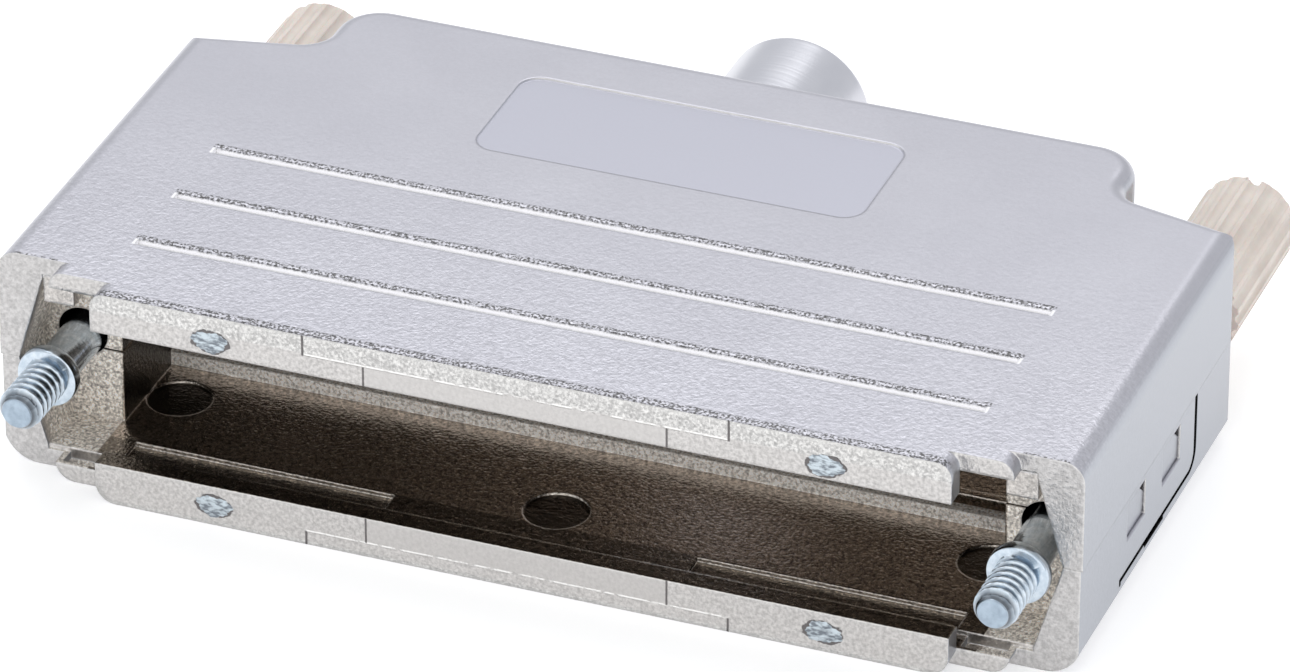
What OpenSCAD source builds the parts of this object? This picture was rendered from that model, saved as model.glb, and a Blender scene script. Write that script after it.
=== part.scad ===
// D-sub hood for a 37-way connector: two die-cast half shells that snap together,
// a flanged sleeve that the cable is crimped to, and two captive jack screws with
// fluted knobs.
// The lower shell's underside is Z 0. The connector goes in at the front (-Y).

/* [Body] */
// How far each side stands outside its jack screw's axis
side_reach = 3.7; // [3.4:0.05:5]
// Height over both shells
body_h = 15; // [14.8:0.1:16]
// Depth of the outer ends at their rear corners
end_depth = 29.6; // [28.6:0.2:33]
// Angle of the outer ends' rear faces
end_slant = 13; // [0:1:18]
// Depth of the middle, from the outer ends' front faces
middle_depth = 37.2; // [35.6:0.2:42]
// Gap beside each knob to the middle
knob_side_gap = 1.52; // [0.6:0.02:3]
// Thickness of the top, the floor and the rear walls
wall_t = 1.5; // [1.3:0.1:1.7]
// How far the lower shell's sides stand back from the upper shell's
lower_inset = 0.12; // [0:0.02:0.2]

/* [Edges] */
// Radius along the top of the sides
top_edge_r = 1.4; // [0.8:0.1:2]
// Radius along the bottom of the sides
bottom_edge_r = 2.3; // [1:0.1:2.6]
// Radius along the rear edges
rear_edge_r = 1.1; // [0.6:0.1:1.4]
// Radius of the middle's rear corners, seen from above
middle_corner_r = 3; // [2:0.2:4]
// Radius of the outer ends' rear corners, seen from above
end_corner_r = 1.4; // [0.6:0.1:1.4]
// Radius of the hollow corners where the middle meets the outer ends
inner_corner_r = 2; // [1:0.1:2]

/* [Mouth] */
// How far inside the jack screws the two lips end that hold the connector's flange
lip_inset = 3.75; // [3.3:0.05:5]
// How far the lips stand in front of the outer ends
lip_reach = 2.8; // [2.5:0.1:3.2]
// Height of the opening between the two lips
lip_gap = 9.5; // [9:0.1:10]
// How far inside the jack screws the rims beside the lips end
rim_inset = 0.35; // [0:0.05:0.7]
// How far these rims stand in front of the outer ends
rim_reach = 1.3; // [1.1:0.1:1.5]
// Height of the slot for the flange
flange_slot_h = 12.6; // [12.4:0.1:12.8]
// How far the flange slot is cut into the outer ends
flange_slot_back = 0.2; // [0.1:0.05:0.4]

/* [Top] */
// How far inside the jack screws the three grooves across the top end
groove_inset = 4; // [2:0.25:10]
// Width of a groove
groove_w = 0.9; // [0.5:0.1:1.4]
// Depth of a groove
groove_d = 0.35; // [0.2:0.05:0.6]
// Distance of the first groove from the outer ends' front faces
groove_first = 4.1; // [3:0.1:6]
// Distance from one groove to the next
groove_pitch = 6.05; // [4:0.05:6.1]
// Width of the label field
label_w = 26; // [15:0.5:40]
// Depth of the label field, front to back
label_l = 9.8; // [6:0.2:10]
// How deep the label field is sunk
label_d = 0.12; // [0.05:0.01:0.3]

/* [Latch] */
// Width of the gap around the latch tongue
latch_gap = 0.32; // [0.25:0.01:0.5]
// Width of the gap behind the latch tongues
latch_back_gap = 0.5; // [0.3:0.05:0.8]
// Distance of the gap's upright part from the outer ends' front faces
latch_end = 22; // [21.8:0.1:23]
// Height of the gap's level part above the underside
latch_z = 2.4; // [2.3:0.05:2.6]
// Length of a latch window, front to back
window_l = 3.5; // [3:0.1:4]
// Height of a latch window
window_h = 2.55; // [1.8:0.05:2.6]
// How far a catch lies below the outside of its window
catch_depth = 0.12; // [0.05:0.01:0.4]

/* [Jack screws] */
// Distance between the two screws
screw_pitch = 63.5; // [63.3:0.1:63.7]
// Diameter of the threaded end (4-40 UNC)
thread_d = 2.84; // [2.5:0.01:3]
// How far the threaded end stands in front of the outer ends
thread_reach = 5.9; // [5:0.1:7]
// Diameter of the plain shank
shank_d = 2.74; // [2.4:0.01:2.8]
// Diameter of the collar that keeps the screw in
collar_d = 4; // [3.8:0.1:4.4]
// Length of the collar
collar_l = 0.9; // [0.6:0.1:1.2]
// How far the collar stands in front of the outer ends
collar_reach = 1.4; // [0.5:0.1:1.8]
// Clearance around the shank in its saddles
shank_clearance = 0.3; // [0.2:0.05:0.4]
// Diameter of a knob over its flutes
knob_d = 6.46; // [6:0.02:7]
// Length of a knob
knob_l = 12.7; // [10:0.1:16]
// Number of flutes around a knob
knob_flutes = 18; // [12:1:24]
// Depth of a flute
flute_d = 0.25; // [0.1:0.05:0.35]
// Gap between a knob and the rear face
knob_gap = 0.25; // [0.1:0.05:0.6]

/* [Cable] */
// Outer diameter of the sleeve that the cable is crimped to
tube_d = 9.8; // [9.2:0.1:11]
// Inner diameter of the sleeve
tube_bore = 8.2; // [7:0.1:8.4]
// How far the sleeve stands behind the middle
tube_reach = 10.2; // [6:0.2:14]
// Width of the sleeve's square flange, which keeps it from turning
flange_w = 12.4; // [11.6:0.2:14]
// Thickness of the sleeve's flange
flange_t = 1.2; // [1:0.1:1.6]
// Clearance around the sleeve's flange and its neck
sleeve_clearance = 0.05; // [0.02:0.01:0.12]

/* [Hidden] */
$fn = 64;
eps = 0.01;
reach = 60;
rest_gap = 0.03;

mid_z = body_h / 2;
half_w = screw_pitch / 2 + side_reach;
body_w = 2 * half_w;
middle_w = screw_pitch - knob_d - 2 * knob_side_gap;
lip_w = screw_pitch - 2 * lip_inset;
rim_w = screw_pitch - 2 * rim_inset;
groove_l = screw_pitch - 2 * groove_inset;
ceiling_z = body_h - wall_t;
lip_low = (body_h - lip_gap) / 2;
lip_high = body_h - lip_low;
slot_low = (body_h - flange_slot_h) / 2;

// The screws lie a little low in their saddles.
screw_x = screw_pitch / 2;
saddle_r = shank_d / 2 + shank_clearance;
screw_z = mid_z - shank_clearance + rest_gap;

// Side pockets: the space beside the connector, in front of and behind the saddles.
pocket_floor_x = half_w - 3;
pocket_mid_x = half_w - 1.25;
saddle_front = 4.25;
saddle_back = 6.2;
saddle_step = 0.9;
saddle_seam = 0.15;
chamber_x = screw_x - saddle_r - 1;
channel_x = chamber_x + 0.95;
side_x = half_w - 1.3;
end_back = end_depth + (half_w - screw_x) * tan(end_slant);
channel_back = end_depth - 1.8;
middle_back = middle_depth - wall_t - 0.1;
middle_in_x = middle_w / 2 - wall_t;

// The sleeve's flange sits in a groove in front of the rear wall.
flange_back = middle_back - sleeve_clearance;
flange_front = flange_back - flange_t;
rib_back = flange_front - sleeve_clearance;
rib_t = 1.4;
root_r = tube_d / 2 + 0.3;
root_end = middle_depth + 0.2;

// Origin: the middle of the whole hood, front to back.
knob_front = end_depth + (half_w - screw_x + knob_d / 2) * tan(end_slant) + knob_gap;
tube_end = middle_depth + tube_reach;
shift_y = -(tube_end - thread_reach) / 2;

window_z = mid_z - 0.55 - window_h;
window_1 = 8.9;
window_2 = window_1 + 6.77;

module placed() {
    translate([0, shift_y, 0]) children();
}

// Stands a 2D outline in X and Z along the depth, from y0 to y1.
module along_y(y0, y1) {
    translate([0, y1, 0]) rotate([90, 0, 0]) linear_extrude(y1 - y0) children();
}

// Stands a 2D outline in Y and Z along the width, from x0 to x1.
module along_x(x0, x1) {
    translate([x0, 0, 0]) rotate([90, 0, 90]) linear_extrude(x1 - x0) children();
}

module block(x0, x1, y0, y1, z0, z1) {
    translate([x0, y0, z0]) cube([x1 - x0, y1 - y0, z1 - z0]);
}

module both_sides() {
    children();
    mirror([1, 0, 0]) children();
}

// Front view of a section of the body, with its own radii below and above.
module section(w, r_low, r_high) {
    translate([-w / 2, r_low]) square([w, body_h - r_low - r_high]);
    translate([-w / 2 + r_low, 0]) square([w - 2 * r_low, r_low + eps]);
    translate([-w / 2 + r_high, body_h - r_high - eps]) square([w - 2 * r_high, r_high + eps]);
    for (s = [-1, 1]) {
        translate([s * (w / 2 - r_low), r_low]) circle(r_low);
        translate([s * (w / 2 - r_high), body_h - r_high]) circle(r_high);
    }
}

// Side view of a rear edge at y 0, rounded above and below.
module rear_profile(depth, r) {
    translate([-depth, 0]) square([depth - r, body_h]);
    translate([-r - eps, r]) square([r + eps, body_h - 2 * r]);
    translate([-r, r]) circle(r);
    translate([-r, body_h - r]) circle(r);
}

// The same for a slanted face: it only cuts the edges, and runs past the top and bottom.
module slanted_profile(depth, r) {
    past = 0.002;
    translate([-depth, -1]) square([depth - r, body_h + 2]);
    translate([-r - eps, r]) square([r + eps, body_h - 2 * r]);
    translate([-r, r - past]) circle(r);
    translate([-r, body_h - r + past]) circle(r);
}

// Plan of the outer ends: their rear faces slant forward to the corners.
module ends_plan() {
    r = end_corner_r;
    arc_y = end_depth + r * tan(end_slant) - r / cos(end_slant);
    turn_x = half_w - r + r * sin(end_slant);
    turn_y = arc_y + r * cos(end_slant);
    inner_x = middle_w / 2 - 3;
    inner_y = end_depth + (half_w - inner_x) * tan(end_slant);
    polygon([
        [-half_w, 0], [half_w, 0], [half_w, arc_y], [turn_x, turn_y], [inner_x, inner_y],
        [-inner_x, inner_y], [-turn_x, turn_y], [-half_w, arc_y]
    ]);
    for (s = [-1, 1]) translate([s * (half_w - r), arc_y]) circle(r);
}

module slanted_limit() {
    translate([half_w, end_depth, 0]) rotate([0, 0, -end_slant])
        along_x(-2 * reach, 20) slanted_profile(2 * reach, rear_edge_r);
}

module ends_body() {
    intersection() {
        along_y(0, reach) section(body_w, bottom_edge_r, top_edge_r);
        translate([0, 0, -1]) linear_extrude(body_h + 2) ends_plan();
        slanted_limit();
        mirror([1, 0, 0]) slanted_limit();
    }
}

// One rear corner of the middle, rounded in plan and along its edges.
module middle_corner() {
    r = middle_corner_r;
    e = rear_edge_r;
    rotate_extrude() {
        square([r - e, body_h]);
        translate([0, e]) square([r, body_h - 2 * e]);
        translate([r - e, e]) circle(e);
        translate([r - e, body_h - e]) circle(e);
    }
}

module middle_body() {
    r = middle_corner_r;
    corner_x = middle_w / 2 - r;
    along_y(end_depth - 5, middle_depth - r) section(middle_w, rear_edge_r, rear_edge_r);
    translate([0, middle_depth, 0]) along_x(-corner_x, corner_x)
        rear_profile(middle_depth - end_depth + 5, rear_edge_r);
    for (s = [-1, 1]) translate([s * corner_x, middle_depth - r, 0]) middle_corner();
}

// The hollow corner on the right, between the middle's side and the slanted rear face.
module inner_corner() {
    past = 0.01;
    e = rear_edge_r;
    side = middle_w / 2;
    straight = middle_depth - middle_corner_r - end_depth - (half_w - side) * tan(end_slant);
    rise = 1 / cos(end_slant) - tan(end_slant);
    r = max(0.2, min(inner_corner_r, 1.32 * knob_side_gap, straight / rise));
    m = r + e + 0.5;
    centre_x = side + r - past;
    centre_y = end_depth + (half_w - centre_x) * tan(end_slant) + (r - past) / cos(end_slant);
    translate([centre_x, centre_y, 0]) intersection() {
        rotate_extrude() {
            translate([r, e]) square([m, body_h - 2 * e]);
            translate([r + e, 0]) square([m, body_h]);
            translate([r + e, e]) circle(e);
            translate([r + e, body_h - e]) circle(e);
        }
        translate([0, 0, -1]) linear_extrude(body_h + 2) polygon([
            [0, 0], [-m, 0], [-m, -m * cos(end_slant)], [-m * sin(end_slant), -m * cos(end_slant)]
        ]);
    }
}

// The closed hood as one solid, before it is hollowed.
module envelope() {
    along_y(-lip_reach, 1) section(lip_w, 1.3, 1);
    along_y(-rim_reach, 1) section(rim_w, 1.3, 1);
    ends_body();
    middle_body();
    both_sides() inner_corner();
}

// Everything that is open inside the closed hood.
module hollow() {
    // the mouth between the lips
    block(-reach, reach, -lip_reach - 1, 0, lip_low, lip_high);
    // the slot for the connector's flange
    block(-reach, reach, -rim_reach, 0, slot_low, body_h - slot_low);
    block(-pocket_floor_x, pocket_floor_x, -eps, flange_slot_back, slot_low, body_h - slot_low);
    // the front pocket, widest at the joint between the shells
    along_y(0, saddle_front) polygon([
        [-pocket_floor_x, wall_t], [pocket_floor_x, wall_t], [pocket_mid_x, mid_z],
        [pocket_floor_x, ceiling_z], [-pocket_floor_x, ceiling_z], [-pocket_mid_x, mid_z]
    ]);
    // the chamber behind the connector, then the one for the cable
    block(-chamber_x, chamber_x, 0, channel_back, wall_t, ceiling_z);
    block(-middle_in_x, middle_in_x, 0, middle_back, wall_t, ceiling_z);
    // the channels that the jack screws run through
    both_sides() {
        block(channel_x, side_x, saddle_front - eps, channel_back, wall_t, ceiling_z);
        screw_way();
    }
    // the way out for the cable
    translate([0, middle_back - 1, mid_z]) rotate([-90, 0, 0])
        cylinder(r = root_r + sleeve_clearance, h = reach);
}

// The room for a jack screw's shank, with its clearance.
module screw_way() {
    translate([screw_x, 0, mid_z]) rotate([-90, 0, 0]) cylinder(r = saddle_r, h = reach);
}

// The walls that trap the sleeve's flange, for both shells.
module flange_walls() {
    w = flange_w / 2 + sleeve_clearance;
    difference() {
        union() {
            block(-w - 1.5, w + 1.5, rib_back - rib_t, rib_back, wall_t - eps, ceiling_z + eps);
            both_sides() block(w, w + 1.5, rib_back - eps, middle_back + eps,
                wall_t - eps, ceiling_z + eps);
        }
        translate([0, 0, mid_z]) rotate([-90, 0, 0]) cylinder(d = tube_bore + 1, h = reach);
    }
}

module upper_half() {
    block(-reach, reach, -reach, 2 * reach, mid_z, body_h + 1);
}

module lower_half() {
    block(-half_w + lower_inset, half_w - lower_inset, -reach, 2 * reach, -1, mid_z);
}

// A rectangle with rounded corners, centred on X, its near side on Y 0.
module rounded_rectangle(w, l, r) {
    difference() {
        translate([-w / 2, 0]) square([w, l]);
        for (x = [0, 1], y = [0, 1]) mirror([x, 0]) translate([0, l / 2]) mirror([0, y])
            translate([w / 2 - r, l / 2 - r]) difference() {
                square([r + 1, r + 1]);
                circle(r);
            }
    }
}

// A groove across the top, its rear edge rounded.
module groove() {
    r = groove_d;
    along_x(-groove_l / 2, groove_l / 2) difference() {
        translate([-groove_w / 2, -groove_d]) square([groove_w, groove_d + 1]);
        translate([groove_w / 2, -r]) circle(r);
    }
}

// Three grooves and a sunk label field on the top.
module top_marks() {
    for (i = [0:2]) translate([0, groove_first + i * groove_pitch, body_h]) groove();
    translate([0, middle_depth - 14.9, body_h - label_d]) linear_extrude(1)
        rounded_rectangle(label_w, label_l, 1.5);
}

// A catch: an arm inside the side wall whose nose fills its window, all but one corner.
module catch(y0) {
    gap = 0.04;
    arm_x = side_x - 0.65;
    skin = half_w - lower_inset - catch_depth;
    block(arm_x, side_x + eps, y0 + 0.2, y0 + window_l - 0.2, mid_z, mid_z + 2.5);
    block(arm_x, side_x - gap, y0 + 0.2, y0 + window_l - 0.2, window_z + gap, mid_z + eps);
    intersection() {
        along_y(y0, y0 + window_l) polygon([
            [side_x - gap - eps, window_z + gap], [skin - 0.06, window_z + gap],
            [skin, window_z + window_h - gap], [side_x - gap - eps, window_z + window_h - gap]
        ]);
        along_x(side_x - 1, half_w) polygon([
            [y0 + 0.15, window_z], [y0 + window_l - gap, window_z],
            [y0 + window_l - gap, window_z + window_h - 0.95],
            [y0 + window_l - 1.15, window_z + window_h - gap], [y0 + 0.15, window_z + window_h - gap]
        ]);
    }
}

// Turned half a turn about the depth: what one shell has at the left, the other has at the right.
module turned() {
    translate([0, 0, body_h]) rotate([0, 180, 0]) children();
}

module upper_shell() {
    color("#c9c9d2") difference() {
        union() {
            difference() {
                intersection() {
                    envelope();
                    upper_half();
                }
                hollow();
            }
            intersection() {
                flange_walls();
                upper_half();
            }
            turned() saddles();
            both_sides() {
                // corner stops for the connector's flange
                block(screw_x - 1.3, pocket_floor_x, flange_slot_back, 2.2, ceiling_z - 1.7, ceiling_z + eps);
                // the rib that holds the jack screw down in its saddle
                difference() {
                    block(channel_x - eps, side_x + eps, saddle_back + 0.4, saddle_back + 1.9,
                        mid_z + saddle_r - 0.3, ceiling_z + eps);
                    screw_way();
                }
                catch(window_1);
                catch(window_2);
            }
        }
        turned() saddle_room();
        top_marks();
    }
}

// The L-shaped gap that frees the latch tongue in a side wall.
module latch_gap_outline() {
    g = latch_gap;
    back = latch_back_gap;
    r = 1.1;
    translate([latch_end, latch_z + r]) square([back, mid_z - latch_z]);
    translate([7.6, latch_z - g]) square([latch_end - 7.6 - r, g]);
    translate([latch_end - r, latch_z + r]) difference() {
        translate([back - g, 0]) intersection() {
            circle(r + g);
            translate([g - back - eps, -2 * r]) square([3 * r, 2 * r + eps]);
        }
        circle(r);
    }
    translate([12.4, latch_z - g - 0.22]) square([3.7, g + 0.22]);
    translate([7.6, latch_z - g - 0.2]) square([g, g]);
}

module latch_cuts() {
    along_x(side_x - 1, half_w + 1) {
        latch_gap_outline();
        for (y0 = [window_1, window_2]) translate([y0, window_z]) square([window_l, window_h]);
    }
}

// A wall that carries a jack screw, from the floor up to the height top.
module saddle(top) {
    difference() {
        block(chamber_x, side_x + eps, saddle_front, saddle_back, wall_t - eps, top);
        screw_way();
    }
}

// The walls of one shell: the right one rises past the joint, the left one stays below it.
module saddles() {
    intersection() {
        saddle(mid_z + saddle_step);
        union() {
            block(0, side_x + eps, 0, reach, 0, mid_z);
            block(0, side_x - 0.05, 0, reach, 0, body_h);
        }
    }
    mirror([1, 0, 0]) saddle(mid_z - saddle_step - saddle_seam);
}

// Room for the other shell's tall wall.
module saddle_room() {
    mirror([1, 0, 0]) block(chamber_x - eps, side_x - 0.05, saddle_front - eps,
        saddle_back + saddle_seam, mid_z - saddle_step - saddle_seam, mid_z + 1);
}

module lower_shell() {
    color("#bfc0ca") difference() {
        union() {
            difference() {
                intersection() {
                    envelope();
                    lower_half();
                }
                hollow();
            }
            saddles();
            // the step up to the cable's floor, and a rib behind it
            block(-chamber_x - eps, chamber_x + eps, 11.6, 12.5, wall_t - eps, wall_t + 0.9);
            block(-chamber_x - eps, chamber_x + eps, 13.6, 14.2, wall_t - eps, wall_t + 0.9);
            intersection() {
                flange_walls();
                lower_half();
            }
        }
        saddle_room();
        both_sides() {
            latch_cuts();
            // the lower shelf in front of the floor, under the connector's solder cups
            block(10, chamber_x - 1.6, -eps, 2.2, wall_t - 0.3, wall_t + 1);
            // relief in the rim under the flange's ear
            block(28.2, 31, -rim_reach + 0.3, flange_slot_back, slot_low - 0.5, slot_low + eps);
            // ejector marks
            translate([chamber_x - 2.1, 8, wall_t - 0.15]) cylinder(d = 4.2, h = 1);
        }
        translate([0, 4.1, wall_t - 0.15]) cylinder(d = 4.2, h = 1);
    }
}

// A jack screw: threaded end, collar and plain shank, turned in one piece.
module jack_screw() {
    tip = 0.35;
    c = 0.15;
    collar_0 = thread_reach - collar_reach;
    collar_1 = collar_0 + collar_l;
    end = thread_reach + knob_front + 10;
    translate([screw_x, -thread_reach, screw_z]) rotate([-90, 0, 0]) rotate_extrude() polygon([
        [0, 0], [thread_d / 2 - tip, 0], [thread_d / 2, tip], [thread_d / 2, collar_0],
        [collar_d / 2 - c, collar_0], [collar_d / 2, collar_0 + c], [collar_d / 2, collar_1],
        [shank_d / 2, collar_1], [shank_d / 2, end], [0, end]
    ]);
}

// A fluted knob, moulded onto the screw's rear end, with a slot in its end face.
module knob(slot_turn) {
    e = 0.7;
    translate([screw_x, knob_front, screw_z]) rotate([-90, 0, 0]) difference() {
        rotate_extrude() {
            square([knob_d / 2 - e, knob_l]);
            translate([0, e / 2]) square([knob_d / 2, knob_l - 1.5 * e]);
            translate([knob_d / 2 - e, knob_l - e]) circle(e);
        }
        translate([0, 0, -1]) cylinder(d = shank_d, h = 11);
        for (i = [0:knob_flutes - 1]) rotate([0, 0, i * 360 / knob_flutes])
            translate([knob_d / 2 + 0.45 - flute_d, 0, -1]) cylinder(r = 0.45, h = knob_l + 2, $fn = 16);
        rotate([0, 0, slot_turn]) translate([-knob_d, -0.45, knob_l - 0.8]) cube([2 * knob_d, 0.9, 1]);
    }
}

// The sleeve: a tube with a rectangular flange that sits between the shells.
module cable_sleeve() {
    e = 0.5;
    color("#c4c4cc") difference() {
        union() {
            block(-flange_w / 2, flange_w / 2, flange_front, flange_back, wall_t,
                ceiling_z - sleeve_clearance);
            translate([0, flange_front, mid_z]) rotate([-90, 0, 0]) rotate_extrude() {
                square([root_r, root_end - flange_front]);
                square([tube_d / 2 - e, tube_end - flange_front]);
                square([tube_d / 2, tube_end - flange_front - e]);
                translate([tube_d / 2 - e, tube_end - flange_front - e]) circle(e);
            }
        }
        translate([0, 0, mid_z]) rotate([-90, 0, 0]) cylinder(d = tube_bore, h = 2 * reach);
    }
}

module right_jack_screw() { color("#b8c6d6") jack_screw(); }
module left_jack_screw() { color("#b8c6d6") mirror([1, 0, 0]) jack_screw(); }
module right_knob() { color("#d8cfc0") knob(96); }
module left_knob() { color("#d8cfc0") mirror([1, 0, 0]) knob(10); }

placed() upper_shell();
placed() lower_shell();
placed() cable_sleeve();
placed() left_jack_screw();
placed() right_jack_screw();
placed() left_knob();
placed() right_knob();
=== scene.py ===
"""A metal hood for a 37-way D-sub connector, as it stands on a pale table.

Two die-cast, nickel-plated half shells snap together around a crimp sleeve and
two jack screws with fluted ivory knobs.
"""

from types import SimpleNamespace

import bpy
import numpy as np
from mathutils import Matrix, Vector


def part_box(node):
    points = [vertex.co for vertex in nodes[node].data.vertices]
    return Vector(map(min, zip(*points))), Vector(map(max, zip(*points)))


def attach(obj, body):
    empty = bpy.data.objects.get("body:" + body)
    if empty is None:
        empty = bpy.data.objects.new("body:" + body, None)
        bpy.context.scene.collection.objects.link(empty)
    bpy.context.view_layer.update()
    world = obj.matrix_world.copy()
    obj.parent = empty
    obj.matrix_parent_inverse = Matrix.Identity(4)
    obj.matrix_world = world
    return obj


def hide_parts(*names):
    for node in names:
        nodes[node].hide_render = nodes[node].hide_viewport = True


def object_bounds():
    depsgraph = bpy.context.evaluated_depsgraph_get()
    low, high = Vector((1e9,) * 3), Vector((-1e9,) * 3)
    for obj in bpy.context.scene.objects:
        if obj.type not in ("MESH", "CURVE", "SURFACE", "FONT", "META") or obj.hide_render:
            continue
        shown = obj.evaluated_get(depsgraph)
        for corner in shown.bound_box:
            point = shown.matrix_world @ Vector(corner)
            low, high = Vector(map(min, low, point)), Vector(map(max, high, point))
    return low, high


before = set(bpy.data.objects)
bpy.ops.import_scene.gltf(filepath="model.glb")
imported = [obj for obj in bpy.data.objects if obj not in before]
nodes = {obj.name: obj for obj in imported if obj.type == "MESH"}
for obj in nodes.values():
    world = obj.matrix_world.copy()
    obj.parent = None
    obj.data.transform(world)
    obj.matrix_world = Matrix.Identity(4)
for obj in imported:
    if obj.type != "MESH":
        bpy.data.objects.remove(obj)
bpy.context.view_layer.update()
MM = 0.001


# --- The half shells -------------------------------------------------------------
# Upper and lower shell: zinc alloy, pressure die-cast, then nickel plated.
# The dies left a pebbled grain outside; inside, the colour is browner and painted darker as
# shade.

hood_low, hood_high = map(Vector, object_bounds())
shell_low, shell_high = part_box("upper_shell")
lip_reach = 2.8 * MM
lip_front_y = shell_low.y
face_y = lip_front_y + lip_reach  # the front faces of the outer ends
top_z = shell_high.z
half_width = shell_high.x
middle_back_y = shell_high.y
wall = 1.5 * MM
floor_reach = 3.4 * MM  # the inner floors and ceilings lie within this of the outside
chamber_half = 29.08 * MM
chamber_length = 28 * MM
cable_room_half = 25.6 * MM

# inside; each y is measured back from face_y
shelf_y_mm = 2.2
pocket_y_mm = 4.3
step_y_mm = (11.5, 12.6)
step_height = 1.1 * MM
latch_y_mm = (7.0, 24.0)
latch_end_y_mm = 21.3
latch_z_mm = (1.7, 7.6)
latch_foot_z_mm = 3.0
latch_inset = 1.5 * MM
ejector_y_mm = {"side": 8.0, "middle": 4.1}
ejector_inset_mm = 2.1  # from the chamber's side walls
ejector_radius_squared = 4.2  # square millimetres

# on the top: the grooves behind face_y, the label field in front of middle_back_y
groove_y_mm = (4.1, 10.15, 16.2)
groove_floor_mm = (-0.5, 0.2)  # from a groove's middle
groove_rear_mm = (0.2, 0.68)
groove_half_length = 27.9 * MM
label_y_mm = (14.9, 5.1)
label_half = 12.95 * MM

# on the lips: beads and lines left by the dies, and the broken gates
bead_z_mm = ((0.93, 1.05), (13.60, 13.74))
panel_z_mm = (1.0, 13.6)
panel_half_mm = 9.87
bead_half_mm = 13.85
gate_x_mm = 20.0
gate_heights_mm = (13.18, 1.36)
gate_half_width = 1.15 * MM
gate_half_height = 0.72 * MM
gate_rise = 0.05 * MM
gate_ripple = 0.035 * MM
gate_sunk = 0.1 * MM


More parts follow.
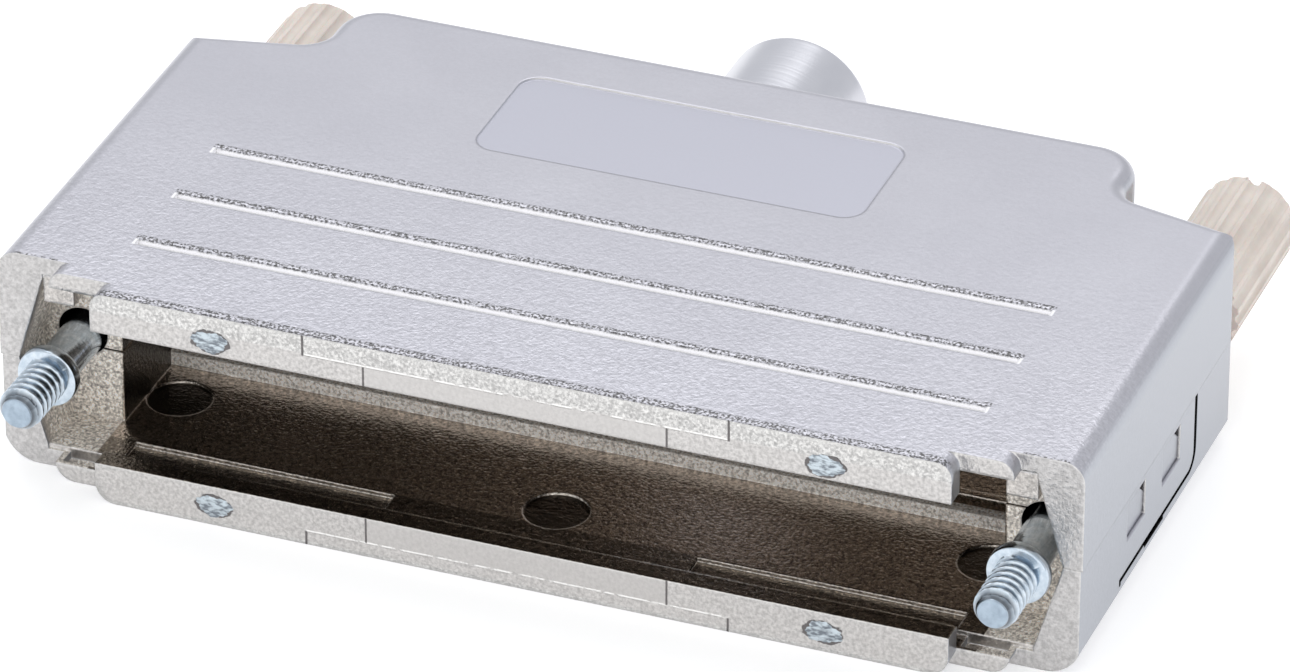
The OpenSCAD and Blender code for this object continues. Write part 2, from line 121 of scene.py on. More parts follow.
class Mix:
    """Small steps for wiring one material: each adds its nodes and returns their output."""

    def __init__(self, name):
        self.material = bpy.data.materials.new(name)
        self.material.use_nodes = True
        self.tree = self.material.node_tree
        self.tree.nodes.clear()
        self.place = self.tree.nodes.new("ShaderNodeTexCoord").outputs["Object"]
        self.axes = self.parts_of(self.place)
        geometry = self.tree.nodes.new("ShaderNodeNewGeometry")
        self.flat = geometry.outputs["True Normal"]
        self.facing = self.parts_of(self.flat)

    def parts_of(self, vector):
        """The X, Y and Z of a vector, as a dictionary of outputs."""
        node = self.tree.nodes.new("ShaderNodeSeparateXYZ")
        self.set(node.inputs["Vector"], vector)
        return {name: node.outputs[name] for name in "XYZ"}

    def set(self, socket, value):
        """Links an output to a socket, or sets a plain value on it."""
        if isinstance(value, bpy.types.NodeSocket):
            self.tree.links.new(value, socket)
        elif socket.type == "RGBA" and len(value) == 3:
            socket.default_value = (*value, 1.0)
        else:
            socket.default_value = value

    def noise(self, size_mm, detail=3.0, rough=0.55, stretch=(1, 1, 1), at=(0, 0, 0)):
        """Cloudy noise whose patches are about size_mm across."""
        scale = self.tree.nodes.new("ShaderNodeMapping")
        scale.vector_type = "POINT"
        self.set(scale.inputs["Vector"], self.place)
        scale.inputs["Scale"].default_value = [s / (size_mm * MM) for s in stretch]
        scale.inputs["Location"].default_value = at
        node = self.tree.nodes.new("ShaderNodeTexNoise")
        self.set(node.inputs["Vector"], scale.outputs["Vector"])
        node.inputs["Scale"].default_value = 1.0
        node.inputs["Detail"].default_value = detail
        node.inputs["Roughness"].default_value = rough
        return node.outputs["Fac"]

    def ramp(self, value, first, last, start=0.0, end=1.0):
        """Maps first..last of a value to start..end, and holds it there beyond."""
        node = self.tree.nodes.new("ShaderNodeMapRange")
        self.set(node.inputs["Value"], value)
        node.inputs["From Min"].default_value = first
        node.inputs["From Max"].default_value = last
        node.inputs["To Min"].default_value = start
        node.inputs["To Max"].default_value = end
        return node.outputs["Result"]

    def math(self, kind, *values):
        """One Math node: kind is ADD, MULTIPLY, MULTIPLY_ADD, MINIMUM and so on."""
        node = self.tree.nodes.new("ShaderNodeMath")
        node.operation = kind
        for socket, value in zip(node.inputs, values):
            self.set(socket, value)
        return node.outputs["Value"]

    def squares(self, a, b):
        """The sum of the squares of two values."""
        return self.math("ADD", self.math("MULTIPLY", a, a), self.math("MULTIPLY", b, b))

    def all(self, *values):
        """The product of several masks."""
        product = values[0]
        for value in values[1:]:
            product = self.math("MULTIPLY", product, value)
        return product

    def any(self, *values):
        """The highest of several masks."""
        highest = values[0]
        for value in values[1:]:
            highest = self.math("MAXIMUM", highest, value)
        return highest

    def between(self, mask, at_0, at_1):
        """The number at_0 where a mask is 0, and at_1 where it is 1."""
        return self.ramp(mask, 0.0, 1.0, at_0, at_1)

    def inverse(self, mask):
        """1 where a mask is 0, and 0 where it is 1."""
        return self.between(mask, 1.0, 0.0)

    def past(self, value, limit, fade=0.1 * MM):
        """0 up to a limit, then rising to 1 over a short fade."""
        return self.ramp(value, limit, limit + fade)

    def before(self, value, limit, fade=0.1 * MM):
        """1 up to a limit, then falling to 0 over a short fade."""
        return self.ramp(value, limit + fade, limit)

    def within(self, name, start, end, soft=0.05 * MM):
        """1 where a coordinate lies between start and end, with soft ends."""
        value = self.axes[name]
        return self.all(
            self.ramp(value, start - soft, start + soft), self.ramp(value, end + soft, end - soft)
        )

    def far(self, name, centre_mm=0.0):
        """The distance from a plane on both sides of the middle, in millimetres."""
        across = self.math("MULTIPLY", self.math("ABSOLUTE", self.axes[name]), 1 / MM)
        return self.math("ABSOLUTE", self.math("SUBTRACT", across, centre_mm))

    def blend(self, factor, a, b):
        """Colour a where factor is 0, colour b where it is 1."""
        node = self.tree.nodes.new("ShaderNodeMix")
        node.data_type = "RGBA"
        self.set(node.inputs["Factor"], factor)
        self.set(node.inputs["A"], a)
        self.set(node.inputs["B"], b)
        return node.outputs["Result"]

    def shade(self, color, value):
        """A colour made darker or lighter by a factor."""
        node = self.tree.nodes.new("ShaderNodeHueSaturation")
        self.set(node.inputs["Color"], color)
        self.set(node.inputs["Value"], value)
        return node.outputs["Color"]

    def rounded(self, radius, samples=6):
        """The surface's direction with its sharp edges softened to a radius in metres."""
        node = self.tree.nodes.new("ShaderNodeBevel")
        node.samples = samples
        self.set(node.inputs["Radius"], radius)
        return node.outputs["Normal"]

    def edge(self, normal):
        """0 on a flat face, rising to 1 where a softened normal turns away from it."""
        node = self.tree.nodes.new("ShaderNodeVectorMath")
        node.operation = "DOT_PRODUCT"
        self.set(node.inputs[0], normal)
        self.set(node.inputs[1], self.flat)
        return self.ramp(node.outputs["Value"], 0.995, 0.8)

    def bump(self, height, depth, strength=1.0, under=None):
        """Relief from a height of 0..1 that stands a depth in metres."""
        node = self.tree.nodes.new("ShaderNodeBump")
        node.inputs["Distance"].default_value = depth
        self.set(node.inputs["Strength"], strength)
        self.set(node.inputs["Height"], height)
        if under is not None:
            self.set(node.inputs["Normal"], under)
        return node.outputs["Normal"]

    def finish(self, color, metallic, roughness, normal=None, **more):
        """Closes the material with one Principled shader."""
        shader = self.tree.nodes.new("ShaderNodeBsdfPrincipled")
        out = self.tree.nodes.new("ShaderNodeOutputMaterial")
        self.tree.links.new(shader.outputs["BSDF"], out.inputs["Surface"])
        self.set(shader.inputs["Base Color"], color)
        self.set(shader.inputs["Metallic"], metallic)
        self.set(shader.inputs["Roughness"], roughness)
        if normal is not None:
            self.set(shader.inputs["Normal"], normal)
        for name, value in more.items():
            self.set(shader.inputs[name.replace("_", " ")], value)
        return self.material


def inner_places(m, across):
    """Masks for the places inside the shells: each is 1 in its place and 0 elsewhere.

    The inside is the chamber behind the connector, the room for the cable, and all floors and
    ceilings. In it are the shelf in front of the floor, the side pockets, a step across the
    floor, the ejector pins' round marks, and the gap that frees each latch.
    """
    y, z = m.axes["Y"], m.axes["Z"]
    floors = m.all(
        m.ramp(m.facing["Z"], 0.4, 0.6), m.before(z, floor_reach - 0.1 * MM, 0.2 * MM)
    )
    ceilings = m.all(
        m.ramp(m.facing["Z"], -0.4, -0.6), m.past(z, top_z - floor_reach - 0.1 * MM, 0.2 * MM)
    )
    chamber = m.all(
        m.before(across, half_width - 0.6 * MM, 0.15 * MM),
        m.within("Y", face_y + 0.5 * MM, face_y + chamber_length, 0.5 * MM),
        m.within("Z", wall - 0.3 * MM, top_z - wall + 0.05 * MM, 0.03 * MM),
    )
    cable_room = m.all(
        m.before(across, cable_room_half),
        m.within("Y", face_y + chamber_length - 1.0 * MM, middle_back_y - 0.5 * MM),
        m.within("Z", wall - 0.05 * MM, top_z - wall + 0.05 * MM, 0.03 * MM),
    )
    inside = m.any(chamber, cable_room, floors, ceilings)
    sideways = m.ramp(m.math("ABSOLUTE", m.facing["X"]), 0.5, 0.7)
    latch_gap = m.all(
        m.inverse(sideways),
        m.past(across, half_width - latch_inset),
        m.within("Y", face_y + latch_y_mm[0] * MM, face_y + latch_y_mm[1] * MM),
        m.within("Z", latch_z_mm[0] * MM, latch_z_mm[1] * MM),
        m.any(m.past(y, face_y + latch_end_y_mm * MM), m.before(z, latch_foot_z_mm * MM)),
    )
    pocket = m.all(
        inside,
        m.past(across, chamber_half + 0.1 * MM),
        m.before(y, face_y + pocket_y_mm * MM),
    )
    step = m.all(
        inside,
        m.within("Y", face_y + step_y_mm[0] * MM, face_y + step_y_mm[1] * MM),
        m.before(z, wall + step_height),
        m.past(z, wall, 0.05 * MM),
    )

    def ejector(x_mm, y_mm):
        """The squared distance from an ejector pin's middle."""
        behind = m.math("MULTIPLY_ADD", y, 1 / MM, -face_y / MM - y_mm)
        return m.squares(m.far("X", x_mm), behind)

    nearest = m.math(
        "MINIMUM",
        ejector(chamber_half / MM - ejector_inset_mm, ejector_y_mm["side"]),
        ejector(0.0, ejector_y_mm["middle"]),
    )
    ejector_mark = m.all(
        m.before(nearest, ejector_radius_squared, 0.2),
        m.before(z, wall - 0.1 * MM, 0.05 * MM),
        inside,
    )
    return SimpleNamespace(
        inside=inside,
        sideways=sideways,
        shelf=m.before(y, face_y + shelf_y_mm * MM, 0.2 * MM),
        latch_gap=latch_gap,
        pocket=pocket,
        step=step,
        ejector_mark=ejector_mark,
    )


def outer_places(m, across, inside):
    """Masks for the places outside: the front and its lips, the sides, and the top's features.

    The brows are the top's front edges: over the lips, and over the posts at the outer ends.
    A groove gets a painted highlight on its floor first, and then a band of grains in painted
    shade on its rear edge; the brows get such grains too.
    """
    y, z = m.axes["Y"], m.axes["Z"]
    outside = m.math("SUBTRACT", 1.0, inside)
    front_way = m.ramp(m.facing["Y"], -0.6, -0.9)
    front = m.all(front_way, outside)
    lip = m.all(front, m.before(y, lip_front_y + 0.05 * MM, 0.05 * MM))
    on_top = m.all(
        m.past(z, top_z - 0.5 * MM, 0.05 * MM), outside, m.before(across, groove_half_length)
    )

    def grooves(span_mm):
        """1 in three strips across the top, over a span from each groove's middle."""
        start, end = span_mm
        strips = [
            m.within("Y", face_y + (middle + start) * MM, face_y + (middle + end) * MM)
            for middle in groove_y_mm
        ]
        return m.all(on_top, m.any(*strips))

    return SimpleNamespace(
        front_way=front_way,
        front=front,
        lip=lip,
        near_front=m.ramp(y, face_y + 22 * MM, face_y - 2 * MM),
        side=m.all(m.ramp(m.math("ABSOLUTE", m.facing["X"]), 0.7, 0.95), outside),
        post=m.past(across, 31.0 * MM, 0.2 * MM),
        label=m.all(
            m.within("Z", top_z - 0.3 * MM, top_z - 0.05 * MM, 0.02 * MM),
            m.within("Y", middle_back_y - label_y_mm[0] * MM, middle_back_y - label_y_mm[1] * MM),
            m.before(across, label_half),
        ),
        groove_floor=grooves(groove_floor_mm),
        groove_rear=grooves(groove_rear_mm),
        brow=m.any(
            m.all(m.within("Y", lip_front_y - 0.1 * MM, lip_front_y + 0.75 * MM), on_top),
            m.all(
                m.within("Y", face_y - 0.1 * MM, face_y + 0.2 * MM),
                m.past(across, 31.3 * MM),
                m.past(z, top_z - 0.1 * MM, 0.05 * MM),
            ),
        ),
        lip_edge=m.all(
            m.before(y, lip_front_y + 1.2 * MM, 0.4 * MM),
            m.any(m.past(z, top_z - 1.5 * MM, 0.3 * MM), m.before(z, 1.2 * MM, 0.3 * MM)),
        ),
        rolled_edge=m.all(
            lip,
            m.any(
                m.within("Z", 13.75 * MM, top_z - 0.05 * MM),
                m.within("Z", 0.05 * MM, 0.25 * MM),
            ),
        ),
        panel=m.all(
            lip,
            m.before(m.far("X"), panel_half_mm - 0.12, 0.1),
            m.within("Z", (panel_z_mm[0] + 0.1) * MM, panel_z_mm[1] * MM),
        ),
    )


def lip_marks(m, across, lip, coarse):
    """What the dies left on the lips: a mask of raised beads, which get a painted highlight, and
    one of sunk lines, which get painted shade.

    The lines frame a smooth panel and end the beads, and the rims of the broken gates are torn
    just as deep.
    """
    z = m.axes["Z"]
    bead = m.all(
        m.any(*(m.within("Z", start * MM, end * MM, 0.03 * MM) for start, end in bead_z_mm)),
        m.before(across, (bead_half_mm - 0.05) * MM),
    )
    beads = m.all(lip, bead, m.ramp(coarse, 0.35, 0.5))
    panel_lines = m.all(
        m.ramp(m.far("X", panel_half_mm), 0.09, 0.03),
        m.within("Z", panel_z_mm[0] * MM, panel_z_mm[1] * MM, 0.02 * MM),
    )
    bead_ends = m.all(
        m.ramp(m.far("X", bead_half_mm), 0.10, 0.04),
        m.any(m.past(z, (panel_z_mm[1] - 0.1) * MM), m.before(z, (panel_z_mm[0] - 0.1) * MM)),
    )

    def gate_reach(z_mm):
        """The reach from a gate's middle on both sides, 1 at the rim of its oval, made ragged."""
        wide = m.math("MULTIPLY", m.far("X", gate_x_mm), MM / gate_half_width)
        tall = m.math("MULTIPLY", z, 1 / gate_half_height)
        tall = m.math("SUBTRACT", tall, z_mm * MM / gate_half_height)
        return m.math("ADD", m.squares(wide, tall), m.ramp(coarse, 0.3, 0.7, -0.35, 0.35))

    near_gate = m.math("MINIMUM", *map(gate_reach, gate_heights_mm))
    gate_rims = m.all(lip, m.ramp(near_gate, 1.3, 1.15))
    return beads, m.any(m.all(lip, m.any(panel_lines, bead_ends)), gate_rims)


def cast_nickel():
    """Nickel over cast zinc: bluish and pebbled outside; brown, glossy and darkened by painted
    shade inside.

    The relief is two sizes of noise, strongest inside and towards the front. The colours are
    laid one over another, from the broad tones, with painted light and shade, to painted
    highlights on the edges, the grains with painted shade and glints, and the marks.
    """
    m = Mix("cast_nickel")
    across = m.math("ABSOLUTE", m.axes["X"])
    inner = inner_places(m, across)
    outer = outer_places(m, across, inner.inside)
    inside, front = inner.inside, outer.front

    # relief: the edges of the lips are worn rounder than the others
    soft = m.rounded(m.math("MULTIPLY_ADD", outer.lip_edge, 0.7 * MM, 0.25 * MM), 8)
    edge = m.edge(soft)
    pebble = m.noise(0.24, detail=2.0, rough=0.6)
    coarse = m.noise(0.6, detail=2.0, at=(3, 1, 4))
    height = m.math("ADD", m.math("MULTIPLY", pebble, 0.6), m.math("MULTIPLY", coarse, 0.4))
    strength = m.math("ADD", m.between(outer.near_front, 0.15, 0.85), m.all(outer.front_way, 0.5))
    strength = m.any(strength, m.all(inside, 1.1))
    for smoother, least in ((outer.side, 0.3), (outer.label, 0.3), (outer.panel, 0.35)):
        strength = m.math("MULTIPLY", strength, m.between(smoother, 1.0, least))
    beads, shaded_sunk_lines = lip_marks(m, across, outer.lip, coarse)
    normal = m.bump(height, 0.08 * MM, strength, soft)
    normal = m.bump(m.math("SUBTRACT", beads, shaded_sunk_lines), 0.05 * MM, 0.9, normal)

    # broad tones outside: a cloudy tone, then painted light and shade by the way each face looks
    cloud = m.ramp(m.noise(9.0, 2.0), 0.35, 0.65)
    granules = m.ramp(m.noise(0.17, 2.0), 0.42, 0.58)
    gaps = m.inverse(granules)
    up = m.ramp(m.facing["Z"], 0.5, 0.9)
    color = m.blend(cloud, (0.525, 0.52, 0.565), (0.55, 0.545, 0.59))
    # painted light and shade: the front faces lighter and warmer than the top, the posts' front
    # faces darker than the lips'
    faces = m.blend(outer.post, (0.57, 0.552, 0.54), (0.525, 0.512, 0.508))
    color = m.blend(front, color, faces)
    # painted highlight on the lips' rolled edges, in a grain pattern
    rolled_highlight = m.blend(granules, (0.48, 0.472, 0.465), (0.70, 0.69, 0.675))
    color = m.blend(outer.rolled_edge, color, rolled_highlight)
    # painted shade: the sides darker and bluer than the top
    color = m.blend(outer.side, color, (0.435, 0.45, 0.49))
    color = m.blend(outer.label, color, (0.535, 0.535, 0.60))

    # painted shade inside: the inside is painted dark, the shelf behind the lips darker still,
    # and the side walls nearly black
    dark = m.blend(inner.shelf, (0.56, 0.49, 0.43), (0.26, 0.23, 0.20))
    dark = m.blend(m.all(inside, inner.sideways), dark, (0.09, 0.08, 0.07))
    color = m.blend(inside, color, dark)
    # painted light: the inner faces that look to the front are lighter, where light reaches in
    color = m.blend(m.all(inside, outer.front_way), color, (0.60, 0.55, 0.49))
    pebbled = m.blend(granules, (0.60, 0.55, 0.495), (1.0, 0.94, 0.86))
    color = m.blend(inner.pocket, color, pebbled)
    # the step is matt and pale, and its lighter colour is also painted light reaching in from the
    # front
    bright = m.blend(granules, (0.78, 0.72, 0.66), (1.0, 0.98, 0.94))
    color = m.blend(inner.step, color, bright)

    # grain, painted highlights on the edges, painted glints and shade, and marks
    speckle = m.math("SUBTRACT", m.ramp(pebble, 0.33, 0.67), 0.5)
    amount = m.math("MULTIPLY", strength, m.between(inside, 0.28, 0.9))
    color = m.shade(color, m.math("MULTIPLY_ADD", speckle, amount, 1.0))
    # painted glints on the upward inner faces
    painted_glints = m.all(m.ramp(m.noise(0.2, detail=1.0, at=(5, 5, 2)), 0.62, 0.70), inside, up)
    color = m.blend(m.all(painted_glints, 0.6), color, (0.95, 0.88, 0.78))
    # painted highlight on the grooves' floors
    color = m.blend(outer.groove_floor, color, (0.97, 0.96, 0.98))
    # painted shade: dark grains on the grooves' rear edges and on the upward brows
    grains = m.all(m.any(outer.groove_rear, m.all(outer.brow, up)), gaps)
    color = m.blend(m.all(grains, 0.9), color, (0.07, 0.068, 0.065))
    # painted highlights along the edges of the front faces and, in grains, inside
    color = m.blend(m.all(edge, front, 0.6), color, (0.86, 0.85, 0.83))
    color = m.blend(m.all(edge, inside, gaps, 0.8), color, (0.85, 0.80, 0.74))
    # painted reflection: the smooth ejector marks are painted darker, for the dark inside they
    # mirror
    color = m.blend(m.all(inner.ejector_mark, up), color, (0.16, 0.14, 0.12))
    # painted highlight on the beads
    color = m.blend(beads, color, (0.95, 0.94, 0.92))
    # painted shade in the sunk lines and the gates' torn rims
    color = m.blend(shaded_sunk_lines, color, (0.16, 0.15, 0.15))
    # painted shade: the gap behind each latch is painted black
    color = m.blend(inner.latch_gap, color, (0.01, 0.01, 0.01))

    # the pockets, the step and the grooves' floors are matt, and hardly mirror anything
    dull = m.any(inner.pocket, inner.step, outer.groove_floor)
    roughness = m.any(m.between(inside, 0.34, 0.24), m.all(dull, 0.5))
    return m.finish(color, m.between(dull, 1.0, 0.15), roughness, normal)


def closed_skin(name, rings, front_pole, rear_pole):
    """A closed mesh over rings of points, (rings, angles, 3), with a fan of faces at each end."""
    rows, columns = rings.shape[:2]
    index = np.arange(rows * columns).reshape(rows, columns)
    after = np.roll(index, -1, axis=1)
    quads = np.stack([index[:-1], index[1:], after[1:], after[:-1]], axis=2).reshape(-1, 4)
    first = np.full(columns, rows * columns)
    front = np.stack([first, index[0], after[0]], axis=1)
    rear = np.stack([first + 1, after[-1], index[-1]], axis=1)
    points = np.concatenate([rings.reshape(-1, 3), [front_pole, rear_pole]])
    mesh = bpy.data.meshes.new(name)
    mesh.from_pydata(points.tolist(), [], quads.tolist() + front.tolist() + rear.tolist())
    mesh.polygons.foreach_set("use_smooth", np.ones(len(mesh.polygons), dtype=bool))
    mesh.set_sharp_from_angle(angle=np.radians(40))
    piece = bpy.data.objects.new(name, mesh)
    bpy.context.scene.collection.objects.link(piece)
    return piece


def broken_gate(name, centre_x, centre_z, turn):
    """The torn stub of a gate: an oval patch with a ragged rim and a rough, slightly raised face.

    The rim is an ellipse times 1 plus three sine waves of the angle. The face rises from the rim
    by a plateau, 1 less the eighth power of the share of the reach, plus the product of two sine
    waves across it. The patch is sunk a little into the lip. The turn shifts all the waves, so
    that no two gates are alike.
    """
    angle = np.linspace(0, 2 * np.pi, 64, endpoint=False)
    ragged = 1 + 0.10 * np.sin(3 * angle + turn) + 0.06 * np.sin(7 * angle + 2 * turn)
    ragged = ragged + 0.04 * np.sin(17 * angle + turn)
    share = np.array([0.08, 0.2, 0.32, 0.44, 0.56, 0.68, 0.8, 0.9, 0.97, 1.0, 1.0])
    x = share[:, None] * ragged * gate_half_width * np.cos(angle)
    z = share[:, None] * ragged * gate_half_height * np.sin(angle)
    torn = np.sin(x / (0.16 * MM) + turn) * np.sin(z / (0.11 * MM) + 2 * turn + x / (0.3 * MM))
    plateau = 1 - share[:, None] ** 8
    y = lip_front_y - plateau * (gate_rise + gate_ripple * torn)
    y[-1] = lip_front_y + gate_sunk
    rings = np.stack([centre_x + x, y, centre_z + z], axis=2)
    front_pole = (centre_x, lip_front_y - gate_rise, centre_z)
    rear_pole = (centre_x, lip_front_y + gate_sunk, centre_z)
    return closed_skin(name, rings, front_pole, rear_pole)


def torn_zinc():
    """Bare zinc where a gate broke off: blue-grey, rough and streaked."""
    m = Mix("torn_zinc")
    torn = m.noise(0.3, detail=3.0, stretch=(0.6, 1, 1.5), at=(7, 2, 5))
    color = m.blend(m.ramp(torn, 0.40, 0.60), (0.20, 0.225, 0.255), (0.58, 0.65, 0.70))
    return m.finish(color, 1.0, 0.35, m.bump(torn, 0.05 * MM, 0.8))


plating = cast_nickel()
bare_zinc = torn_zinc()
for name in ("upper_shell", "lower_shell"):
    nodes[name].data.materials[0] = plating
for shell, height_mm in zip(("upper", "lower"), gate_heights_mm):
    for side, way in (("left", -1), ("right", 1)):
        stub = broken_gate(
            f"{shell}_{side}_gate", way * gate_x_mm * MM, height_mm * MM, height_mm + way
        )
        stub.data.materials.append(bare_zinc)
        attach(stub, "hood")

# --- The crimp sleeve ------------------------------------------------------------
# A turned tube whose flange is trapped between the shells. The cable's screen
# is crimped around it. It is nickel plated and smoother than the castings.


def turned_nickel():
    """Smooth nickel with faint rings left by the turning tool, and cloudy stains."""
    m = Mix("turned_nickel")
    rings = m.noise(0.3, detail=1.0, stretch=(0.02, 1, 0.02))
    stain = m.noise(3.0, detail=2.0, stretch=(1, 0.4, 1))
    color = m.blend(m.ramp(stain, 0.35, 0.65), (0.62, 0.62, 0.665), (0.68, 0.68, 0.72))
    return m.finish(color, 1.0, 0.30, m.bump(rings, 0.01 * MM, 1.0, m.rounded(0.15 * MM)))


nodes["cable_sleeve"].data.materials[0] = turned_nickel()

# --- The jack screws -------------------------------------------------------------
# Turned steel with a bluish zinc coat: a rolled 4-40 thread, a collar and a plain
# shank in one piece. A finely cut skin stands for each plain solid.

screw_low, screw_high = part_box("right_jack_screw")
screw_centre = (screw_low + screw_high) / 2
thread_pitch = 0.635 * MM
thread_length = 4.5 * MM
crest_radius = 1.42 * MM
root_radius = 1.07 * MM
root_edge = 0.78  # where the flat root begins, in half pitches from the crest's middle
flank_width = 0.62  # in half pitches
tip_radius = 0.95 * MM
tip_slope = 0.75
collar_length = 0.9 * MM
collar_edge = 0.18 * MM
shank_radius = 1.37 * MM
rows_a_pitch = 14
screw_columns = 72


def thread_radius(along, angle):
    """The radius of a right-hand thread at each distance along the screw and each angle.

    The phase runs from 0 to 1 over one pitch along the axis and over one turn. The flanks rise
    in a straight line from a flat root to a flat crest, and an S-curve rounds both. A cone cuts
    the crests off towards the tip.
    """
    phase = (along / thread_pitch + angle / (2 * np.pi)) % 1.0
    flank = np.clip((root_edge - np.abs(2 * phase - 1)) / flank_width, 0, 1)
    rounded = flank * flank * (3 - 2 * flank)
    radius = root_radius + (crest_radius - root_radius) * rounded
    return np.minimum(radius, tip_radius + tip_slope * along)


def skin_around_y(name, centre_x, centre_z, y, radius):
    """A closed skin of rings around an axis along Y, from a table of radii.

    Each row of the table is one ring, at one y, and each column one angle. A point lies at the
    centre plus its radius times the cosine and sine of its angle. Fans close both ends.
    """
    angle = np.linspace(0, 2 * np.pi, radius.shape[1], endpoint=False)
    x = centre_x + radius * np.cos(angle)
    z = centre_z + radius * np.sin(angle)
    rings = np.stack([x, np.broadcast_to(y[:, None], x.shape), z], axis=2)
    return closed_skin(name, rings, (centre_x, y[0], centre_z), (centre_x, y[-1], centre_z))


def threaded_screw(name, node):
    """One jack screw: rings with the thread's radius, then the turned collar and shank.

    The turned part is a table of distances past the thread and their radii. Three rows at each
    edge of the collar round it off.
    """
    lowest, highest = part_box(node)
    collar_radius = (highest.x - lowest.x) / 2
    angle = np.linspace(0, 2 * np.pi, screw_columns, endpoint=False)
    rows = int(round(thread_length / thread_pitch * rows_a_pitch))
    along = np.linspace(0, thread_length, rows)
    thread = thread_radius(along[:, None], angle[None, :])
    corner = 0.3 * collar_edge
    turned = np.array(
        [
            (0.0, collar_radius - collar_edge),
            (corner, collar_radius - corner),
            (collar_edge, collar_radius),
            (collar_length - collar_edge, collar_radius),
            (collar_length - corner, collar_radius - corner),
            (collar_length, collar_radius - collar_edge),
            (collar_length, shank_radius),
            (highest.y - lowest.y - thread_length, shank_radius),
        ]
    )
    y = lowest.y + np.concatenate([along, thread_length + turned[:, 0]])
    radius = np.concatenate([thread, np.repeat(turned[:, 1:], screw_columns, axis=1)])
    centre = (lowest + highest) / 2
    return skin_around_y(name, centre.x, centre.z, y, radius)


def bright_zinc():
    """Blue-white zinc: painted shade in the thread valleys, turning rings, and a dull bloom on
    the end face.
    """
    m = Mix("bright_zinc")
    y = m.axes["Y"]
    rings = m.noise(0.22, detail=1.0, stretch=(0.02, 1, 0.02))
    bloom = m.noise(0.5, detail=3.0)
    tip = m.before(y, hood_low.y + 0.02 * MM, 0.08 * MM)
    thread = m.before(y, hood_low.y + thread_length - 0.1 * MM)
    height = m.math("MULTIPLY_ADD", m.axes["Z"], 1 / MM, -screw_centre.z / MM)
    radius = m.math("SQRT", m.squares(m.far("X", screw_centre.x / MM), height))
    valley_shade = m.ramp(radius, crest_radius / MM - 0.04, root_radius / MM + 0.02)
    valley_shade = m.all(valley_shade, thread, m.inverse(tip))
    color = m.blend(m.ramp(bloom, 0.35, 0.65), (0.50, 0.585, 0.67), (0.66, 0.73, 0.80))
    # painted shade deep in the thread
    color = m.blend(m.all(valley_shade, 0.85), color, (0.09, 0.10, 0.115))
    color = m.blend(tip, color, m.blend(bloom, (0.22, 0.28, 0.35), (0.56, 0.66, 0.76)))
    relief = m.math("MULTIPLY_ADD", bloom, m.between(tip, 0.5, 4.0), rings)
    return m.finish(color, 1.0, m.between(tip, 0.2, 0.42), m.bump(relief, 0.02 * MM, 0.6))


zinc = bright_zinc()
for side in ("left", "right"):
    screw = threaded_screw(f"{side}_threaded_screw", f"{side}_jack_screw")
    screw.data.materials.append(zinc)
    nodes[f"{side}_jack_screw"].data.materials[0] = zinc
    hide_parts(f"{side}_jack_screw")
    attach(screw, f"{side}_thumbscrew")

# --- The knobs -------------------------------------------------------------------
# Ivory plastic, moulded onto the rear end of each screw.


def ivory_plastic():
    """Ivory plastic with a soft, slightly cloudy skin."""
    m = Mix("ivory_plastic")
    cloud = m.noise(2.5, detail=3.0)
    color = m.blend(m.ramp(cloud, 0.35, 0.65), (0.66, 0.585, 0.525), (0.73, 0.66, 0.60))
    skin = m.noise(0.15, detail=2.0)
    normal = m.bump(skin, 0.01 * MM, 1.0, m.rounded(0.16 * MM))
    return m.finish(color, 0.0, 0.42, normal, Subsurface_Weight=0.15, Subsurface_Scale=0.8 * MM)


ivory = ivory_plastic()
for name in ("left_knob", "right_knob"):
    nodes[name].data.materials[0] = ivory

# --- The table, the light and the camera -------------------------------------------
# A plain white table under a white sky, with broad soft lamps around the hood.
# The front lamp is the largest, so that its mirror image on the top stays faint.

middle = (hood_low + hood_high) / 2
table_half_side = 4.0
table_z = hood_low.z - 0.02 * MM  # just clear of the hood's flat underside
lamp_distance = 0.9


def white_table():
    """Matt white board with a faint glow of its own, as on a product table lit from below."""
    m = Mix("white_table")
    glow = {"Emission_Color": (1.0, 1.0, 1.0), "Emission_Strength": 0.45}
    return m.finish((0.76, 0.76, 0.76), 0.0, 0.9, **glow)


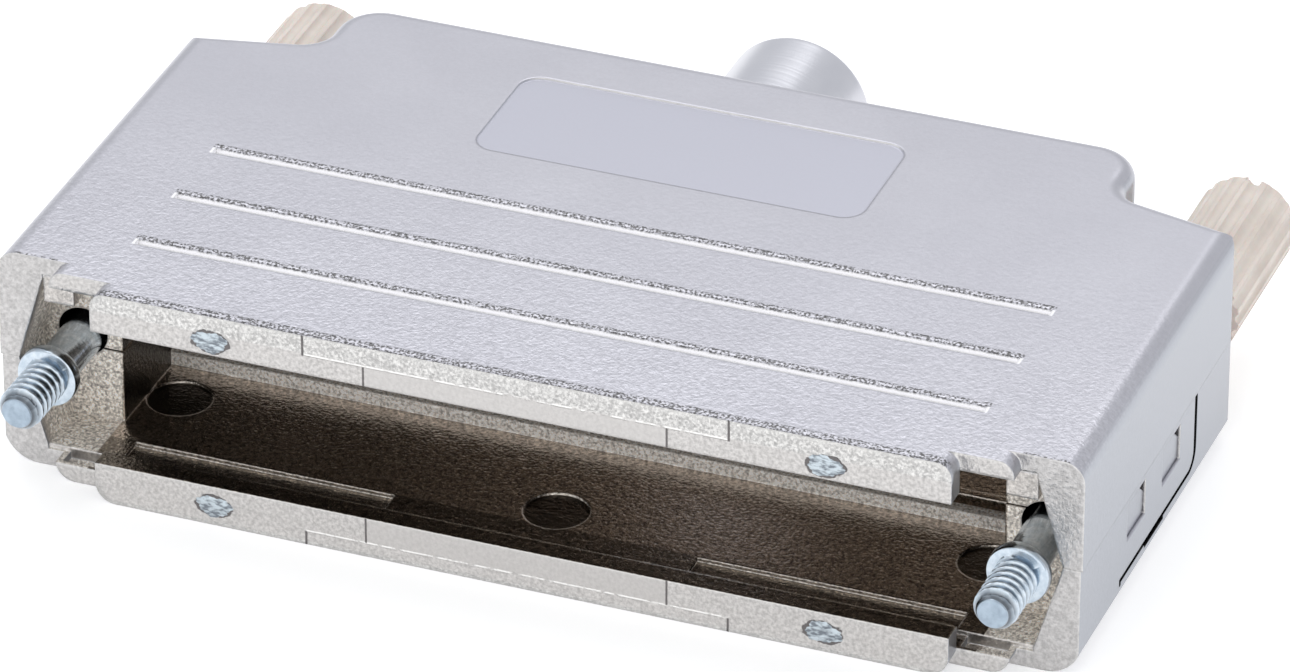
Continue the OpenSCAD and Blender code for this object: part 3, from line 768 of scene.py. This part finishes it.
corners = table_half_side * np.array([(-1, -1), (1, -1), (1, 1), (-1, 1)])
table_mesh = bpy.data.meshes.new("table")
table_mesh.from_pydata([(*corner, table_z) for corner in corners.tolist()], [], [(0, 1, 2, 3)])
table = bpy.data.objects.new("table", table_mesh)
bpy.context.scene.collection.objects.link(table)
table_mesh.materials.append(white_table())

world = bpy.data.worlds.new("white_sky")
bpy.context.scene.world = world
world.use_nodes = True
world.node_tree.nodes["Background"].inputs["Color"].default_value = (0.95, 0.97, 1.0, 1)
world.node_tree.nodes["Background"].inputs["Strength"].default_value = 0.8


def looking_at(centre, azimuth, elevation, distance):
    """Where a lamp or a camera stands, and how it turns to look at a centre.

    It stands at the centre plus the distance times (sin a cos e, -cos a cos e, sin e). Azimuth
    a and elevation e are in degrees: azimuth 0 is in front, and +90 is to the right.
    """
    a, e = np.radians([azimuth, elevation])
    way = Vector((np.sin(a) * np.cos(e), -np.cos(a) * np.cos(e), np.sin(e)))
    turn = way.to_track_quat("Z", "Y").to_matrix().to_4x4()
    return Matrix.Translation(centre + way * distance) @ turn


def soft_lamp(name, azimuth, elevation, size, power, color=(1, 1, 1)):
    """A square lamp that faces the hood."""
    data = bpy.data.lights.new(name, "AREA")
    data.shape = "SQUARE"
    data.size = size
    data.energy = power
    data.color = color
    lamp = bpy.data.objects.new(name, data)
    lamp.matrix_world = looking_at(middle, azimuth, elevation, lamp_distance)
    bpy.context.scene.collection.objects.link(lamp)


soft_lamp("lamp_above", 200, 60, 0.7, 2.0)
soft_lamp("lamp_left", -60, 40, 0.6, 0.6)
soft_lamp("lamp_front", 10, 32, 1.0, 1.9, (1.0, 0.97, 0.92))

# The camera looks down on the open front from the right.
aim = middle + Vector((-0.08, -1.24, -2.10)) * MM
camera_data = bpy.data.cameras.new("camera")
camera_data.sensor_fit = "HORIZONTAL"
camera_data.sensor_width = 36.0
camera_data.lens = 260.2
camera = bpy.data.objects.new("camera", camera_data)
camera.matrix_world = looking_at(aim, azimuth=21.0, elevation=31.02, distance=0.585)
bpy.context.scene.collection.objects.link(camera)
bpy.context.scene.camera = camera
bpy.context.scene.view_settings.view_transform = "Standard"
